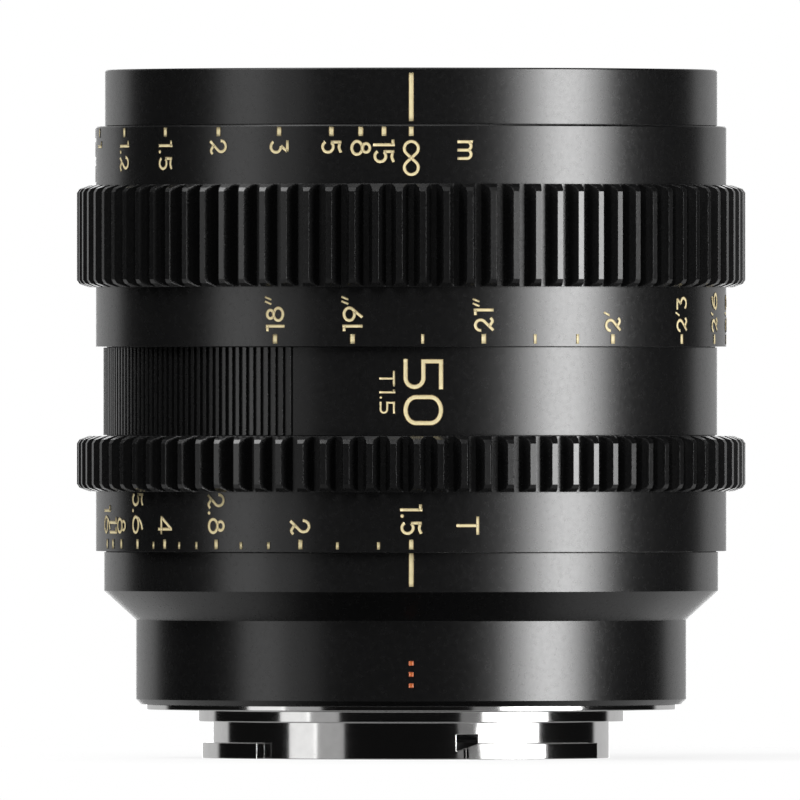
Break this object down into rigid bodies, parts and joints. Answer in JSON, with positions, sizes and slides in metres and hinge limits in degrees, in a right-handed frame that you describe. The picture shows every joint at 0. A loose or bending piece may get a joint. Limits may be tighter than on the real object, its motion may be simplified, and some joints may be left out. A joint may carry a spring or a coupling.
{
  "type": "cinema prime lens",
  "caption": "Geared manual lens with a rotating focus ring and iris ring, a fixed barrel, a moving glass block and a bayonet mount.",
  "frame": {"origin": "on the optical axis, in the plane of the face that seats on the camera", "axes": "+Z along the optical axis towards the front of the lens; -Y towards the index lines of the scales; +X to the right when facing the index lines with the front of the lens up"},
  "size_m": [0.0728, 0.0728, 0.0749],
  "materials": {
    "black_anodised": "satin black anodised, fine bead blast",
    "black_baffle": "matt black anodised",
    "mount_metal": "polished chromed brass",
    "cam_metal": "machined",
    "brass": "machined",
    "screw_steel": "plain",
    "low_friction_plastic": "matt",
    "blade_steel": "blackened, satin",
    "coated_glass": "polished, antireflection coated",
    "scale_paint": "gold engraving paint",
    "index_paint": "orange paint"
  },
  "bodies": {
    "fixed_barrel": {"front_barrel": "black_anodised", "front_set_screws": "screw_steel", "guide_tube": "black_baffle", "mid_barrel": "black_anodised", "mid_set_screws": "screw_steel", "rear_barrel": "black_anodised", "rear_set_screws": "screw_steel", "lens_mount": "mount_metal", "mount_screws": "screw_steel", "flange_shim": "brass", "rear_baffle": "black_baffle", "focus_stop_pin": "brass"},
    "focus_ring": {"focus_ring": "black_anodised", "focus_cam_ring": "cam_metal", "cam_ring_pins": "screw_steel", "focus_thrust_ring_front": "low_friction_plastic", "focus_thrust_ring_rear": "low_friction_plastic"},
    "iris_ring": {"iris_ring": "black_anodised", "iris_fork": "cam_metal", "fork_screws": "screw_steel", "iris_thrust_ring": "low_friction_plastic"},
    "optical_block": {"carriage": "black_baffle", "focus_followers": "brass", "front_cell": "black_baffle", "front_bezel": "black_baffle", "front_retaining_ring": "black_baffle", "doublet_retaining_ring": "black_baffle", "rear_cell": "black_baffle", "rear_lock_ring": "black_baffle", "rear_retaining_ring": "black_baffle", "spacer_5_6": "black_baffle", "spacer_6_7": "black_baffle", "iris_base": "black_baffle", "iris_cover": "black_baffle", "element_1": "coated_glass", "element_2": "coated_glass", "element_3": "coated_glass", "element_4": "coated_glass", "element_5": "coated_glass", "element_6": "coated_glass", "element_7": "coated_glass"},
    "iris_cam": {"iris_cam_ring": "cam_metal"},
    "iris_blade_1": {"iris_blade_1": "blade_steel"},
    "iris_blade_2": {"iris_blade_2": "blade_steel"},
    "iris_blade_3": {"iris_blade_3": "blade_steel"},
    "iris_blade_4": {"iris_blade_4": "blade_steel"},
    "iris_blade_5": {"iris_blade_5": "blade_steel"},
    "iris_blade_6": {"iris_blade_6": "blade_steel"},
    "iris_blade_7": {"iris_blade_7": "blade_steel"},
    "iris_blade_8": {"iris_blade_8": "blade_steel"},
    "iris_blade_9": {"iris_blade_9": "blade_steel"},
    "iris_blade_10": {"iris_blade_10": "blade_steel"}
  },
  "joints": [
    {"name": "focus_turn", "type": "hinge", "parent": "fixed_barrel", "child": "focus_ring", "pos_m": [0, 0, 0.0515], "axis": [0, 0, 1], "range_deg": [0, 205.2]},
    {"name": "iris_turn", "type": "hinge", "parent": "fixed_barrel", "child": "iris_ring", "pos_m": [0, 0, 0.0235], "axis": [0, 0, 1], "range_deg": [0, 74.5]},
    {"name": "focus_slide", "type": "slide", "parent": "fixed_barrel", "child": "optical_block", "axis": [0, 0, 1], "range_m": [0, 0.00724]},
    {"name": "iris_cam_turn", "type": "hinge", "parent": "optical_block", "child": "iris_cam", "pos_m": [0, 0, 0.02527], "axis": [0, 0, 1], "range_deg": [0, 74.6]},
    {"name": "iris_blade_1_pivot", "type": "hinge", "parent": "optical_block", "child": "iris_blade_1", "pos_m": [0.0205, 0, 0.0228], "axis": [0, 0, 1], "range_deg": [0, 32.69]},
    {"name": "iris_blade_2_pivot", "type": "hinge", "parent": "optical_block", "child": "iris_blade_2", "pos_m": [0.01658, 0.01205, 0.0228], "axis": [0, 0, 1], "range_deg": [0, 32.69]},
    {"name": "iris_blade_3_pivot", "type": "hinge", "parent": "optical_block", "child": "iris_blade_3", "pos_m": [0.00633, 0.0195, 0.0228], "axis": [0, 0, 1], "range_deg": [0, 32.69]},
    {"name": "iris_blade_4_pivot", "type": "hinge", "parent": "optical_block", "child": "iris_blade_4", "pos_m": [-0.00633, 0.0195, 0.0228], "axis": [0, 0, 1], "range_deg": [0, 32.69]},
    {"name": "iris_blade_5_pivot", "type": "hinge", "parent": "optical_block", "child": "iris_blade_5", "pos_m": [-0.01658, 0.01205, 0.0228], "axis": [0, 0, 1], "range_deg": [0, 32.69]},
    {"name": "iris_blade_6_pivot", "type": "hinge", "parent": "optical_block", "child": "iris_blade_6", "pos_m": [-0.0205, 0, 0.0228], "axis": [0, 0, 1], "range_deg": [0, 32.69]},
    {"name": "iris_blade_7_pivot", "type": "hinge", "parent": "optical_block", "child": "iris_blade_7", "pos_m": [-0.01658, -0.01205, 0.0228], "axis": [0, 0, 1], "range_deg": [0, 32.69]},
    {"name": "iris_blade_8_pivot", "type": "hinge", "parent": "optical_block", "child": "iris_blade_8", "pos_m": [-0.00633, -0.0195, 0.0228], "axis": [0, 0, 1], "range_deg": [0, 32.69]},
    {"name": "iris_blade_9_pivot", "type": "hinge", "parent": "optical_block", "child": "iris_blade_9", "pos_m": [0.00633, -0.0195, 0.0228], "axis": [0, 0, 1], "range_deg": [0, 32.69]},
    {"name": "iris_blade_10_pivot", "type": "hinge", "parent": "optical_block", "child": "iris_blade_10", "pos_m": [0.01658, -0.01205, 0.0228], "axis": [0, 0, 1], "range_deg": [0, 32.69]}
  ],
  "couplings": [
    {"joint": "focus_slide", "follows": "focus_turn", "m_per_rad": 0.0020181},
    {"joint": "iris_cam_turn", "follows": "iris_turn", "ratio": 1},
    {"joint": "iris_blade_1_pivot", "follows": "iris_turn", "ratio": 0.43744},
    {"joint": "iris_blade_2_pivot", "follows": "iris_turn", "ratio": 0.43744},
    {"joint": "iris_blade_3_pivot", "follows": "iris_turn", "ratio": 0.43744},
    {"joint": "iris_blade_4_pivot", "follows": "iris_turn", "ratio": 0.43744},
    {"joint": "iris_blade_5_pivot", "follows": "iris_turn", "ratio": 0.43744},
    {"joint": "iris_blade_6_pivot", "follows": "iris_turn", "ratio": 0.43744},
    {"joint": "iris_blade_7_pivot", "follows": "iris_turn", "ratio": 0.43744},
    {"joint": "iris_blade_8_pivot", "follows": "iris_turn", "ratio": 0.43744},
    {"joint": "iris_blade_9_pivot", "follows": "iris_turn", "ratio": 0.43744},
    {"joint": "iris_blade_10_pivot", "follows": "iris_turn", "ratio": 0.43744}
  ]
}
